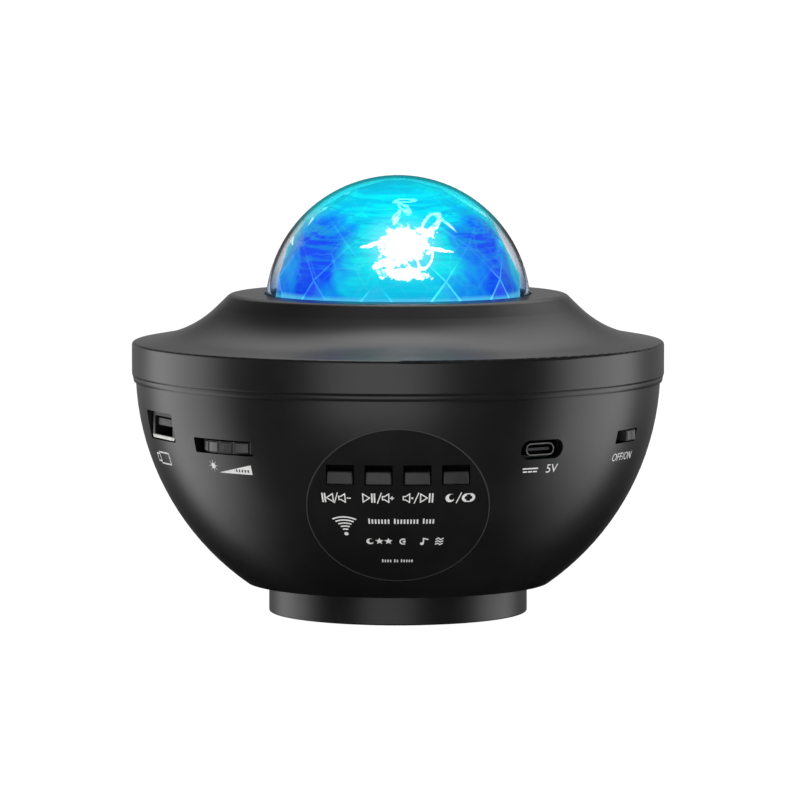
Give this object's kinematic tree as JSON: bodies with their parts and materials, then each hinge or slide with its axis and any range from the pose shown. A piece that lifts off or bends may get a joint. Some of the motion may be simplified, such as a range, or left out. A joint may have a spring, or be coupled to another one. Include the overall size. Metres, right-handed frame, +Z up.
{
  "type": "star night light projector",
  "caption": "Bowl-shaped night light projector with a clear dome over a turning faceted dome, a wide brim, a key panel, sockets, a dimmer wheel and a slide switch.",
  "frame": {"origin": "centre of the foot ring's underside, on the table", "axes": "+Z up along the dome's axis, -Y towards the control panel, +X to the right of someone facing the panel"},
  "size_m": [0.146, 0.146, 0.1202],
  "materials": {
    "black_shell": "fine moulded texture",
    "satin_base": "satin",
    "gloss_panel": "half gloss",
    "clear_dome": "clear polycarbonate, polished",
    "ripple_acrylic": "clear acrylic lit from inside in blue",
    "foot_rubber": "matte",
    "key_plastic": "satin",
    "wheel_plastic": "satin",
    "white_acetal": "smooth",
    "white_plastic": "smooth",
    "black_plastic": "moulded",
    "zinc_screw": "zinc plated",
    "steel_shell": "tin plated",
    "switch_steel": "pressed",
    "motor_steel": "plated",
    "sink_aluminium": "extruded",
    "brass_barrel": "turned",
    "board_green": "solder mask",
    "board_white": "white solder mask",
    "led_package": "clear lens on a white package",
    "module_blue": "board with a plated can",
    "capacitor_sleeve": "sleeve",
    "speaker_paper": "pressed paper",
    "coil_copper": "enamelled wire",
    "speaker_rubber": "soft roll",
    "magnet_ferrite": "ferrite",
    "wire_red": "insulated wire"
  },
  "bodies": {
    "housing": {"lower_housing": "black_shell", "control_panel": "gloss_panel", "top_cover": "black_shell", "base_cover": "satin_base", "foot_ring": "foot_rubber", "base_screws": "zinc_screw", "outer_dome": "clear_dome", "dome_clamp_ring": "black_plastic", "clamp_screws": "zinc_screw", "motor_gearbox": "motor_steel", "drive_motor": "motor_steel", "motor_screws": "zinc_screw", "light_deck": "black_plastic", "deck_screws": "zinc_screw", "heat_sink": "sink_aluminium", "led_board": "board_white", "led_emitters": "led_package", "reflector": "white_plastic", "laser_module": "brass_barrel", "grating_cap": "black_plastic", "main_board": "board_green", "board_screws": "zinc_screw", "radio_module": "module_blue", "controller_chips": "black_plastic", "capacitors": "capacitor_sleeve", "lead_connectors": "white_plastic", "key_board": "board_green", "key_switches": "switch_steel", "ir_receiver": "black_plastic", "dimmer_body": "switch_steel", "power_switch_body": "switch_steel", "usb_a_shell": "steel_shell", "usb_a_insert": "black_plastic", "usb_c_shell": "steel_shell", "usb_c_insert": "black_plastic", "speaker_basket": "steel_shell", "speaker_magnet": "magnet_ferrite", "speaker_surround": "speaker_rubber", "speaker_gasket": "speaker_rubber", "speaker_screws": "zinc_screw", "speaker_leads": "wire_red", "motor_leads": "wire_red", "led_leads": "wire_red"},
    "dome_rotor": {"ripple_dome": "ripple_acrylic", "dome_gear": "white_acetal"},
    "pinion": {"drive_pinion": "white_acetal", "drive_shaft": "steel_shell"},
    "dimmer": {"dimmer_wheel": "wheel_plastic"},
    "switch_knob": {"power_switch_knob": "key_plastic"},
    "speaker_diaphragm": {"speaker_cone": "speaker_paper", "voice_coil": "coil_copper"},
    "previous_key": {"previous_button": "key_plastic", "previous_plunger": "black_plastic"},
    "next_key": {"next_button": "key_plastic", "next_plunger": "black_plastic"},
    "play_key": {"play_button": "key_plastic", "play_plunger": "black_plastic"},
    "mode_key": {"mode_button": "key_plastic", "mode_plunger": "black_plastic"}
  },
  "joints": [
    {"name": "dome_spin", "type": "hinge", "parent": "housing", "child": "dome_rotor", "pos_m": [0, 0, 0.0783], "axis": [0, 0, 1], "continuous": true},
    {"name": "pinion_spin", "type": "hinge", "parent": "housing", "child": "pinion", "pos_m": [0, 0.042, 0.0783], "axis": [0, 0, 1], "continuous": true},
    {"name": "dimmer_turn", "type": "hinge", "parent": "housing", "child": "dimmer", "pos_m": [-0.0392, -0.04323, 0.0502], "axis": [0, 0, 1], "range_deg": [-150, 150]},
    {"name": "power_slide", "type": "slide", "parent": "housing", "child": "switch_knob", "axis": [0.4818, 0.8763, 0], "range_m": [-0.0052, 0]},
    {"name": "cone_travel", "type": "slide", "parent": "housing", "child": "speaker_diaphragm", "axis": [0, 0, 1], "range_m": [-0.0003, 0.0003], "stiffness_N_per_m": 1500, "deforming": ["speaker_surround"]},
    {"name": "previous_press", "type": "slide", "parent": "housing", "child": "previous_key", "axis": [0, 1, 0], "range_m": [0, 0.0006], "stiffness_N_per_m": 300, "springref_m": -0.001},
    {"name": "next_press", "type": "slide", "parent": "housing", "child": "next_key", "axis": [0, 1, 0], "range_m": [0, 0.0006], "stiffness_N_per_m": 300, "springref_m": -0.001},
    {"name": "play_press", "type": "slide", "parent": "housing", "child": "play_key", "axis": [0, 1, 0], "range_m": [0, 0.0006], "stiffness_N_per_m": 300, "springref_m": -0.001},
    {"name": "mode_press", "type": "slide", "parent": "housing", "child": "mode_key", "axis": [0, 1, 0], "range_m": [0, 0.0006], "stiffness_N_per_m": 300, "springref_m": -0.001}
  ],
  "couplings": [
    {"joint": "pinion_spin", "follows": "dome_spin", "ratio": -6}
  ]
}
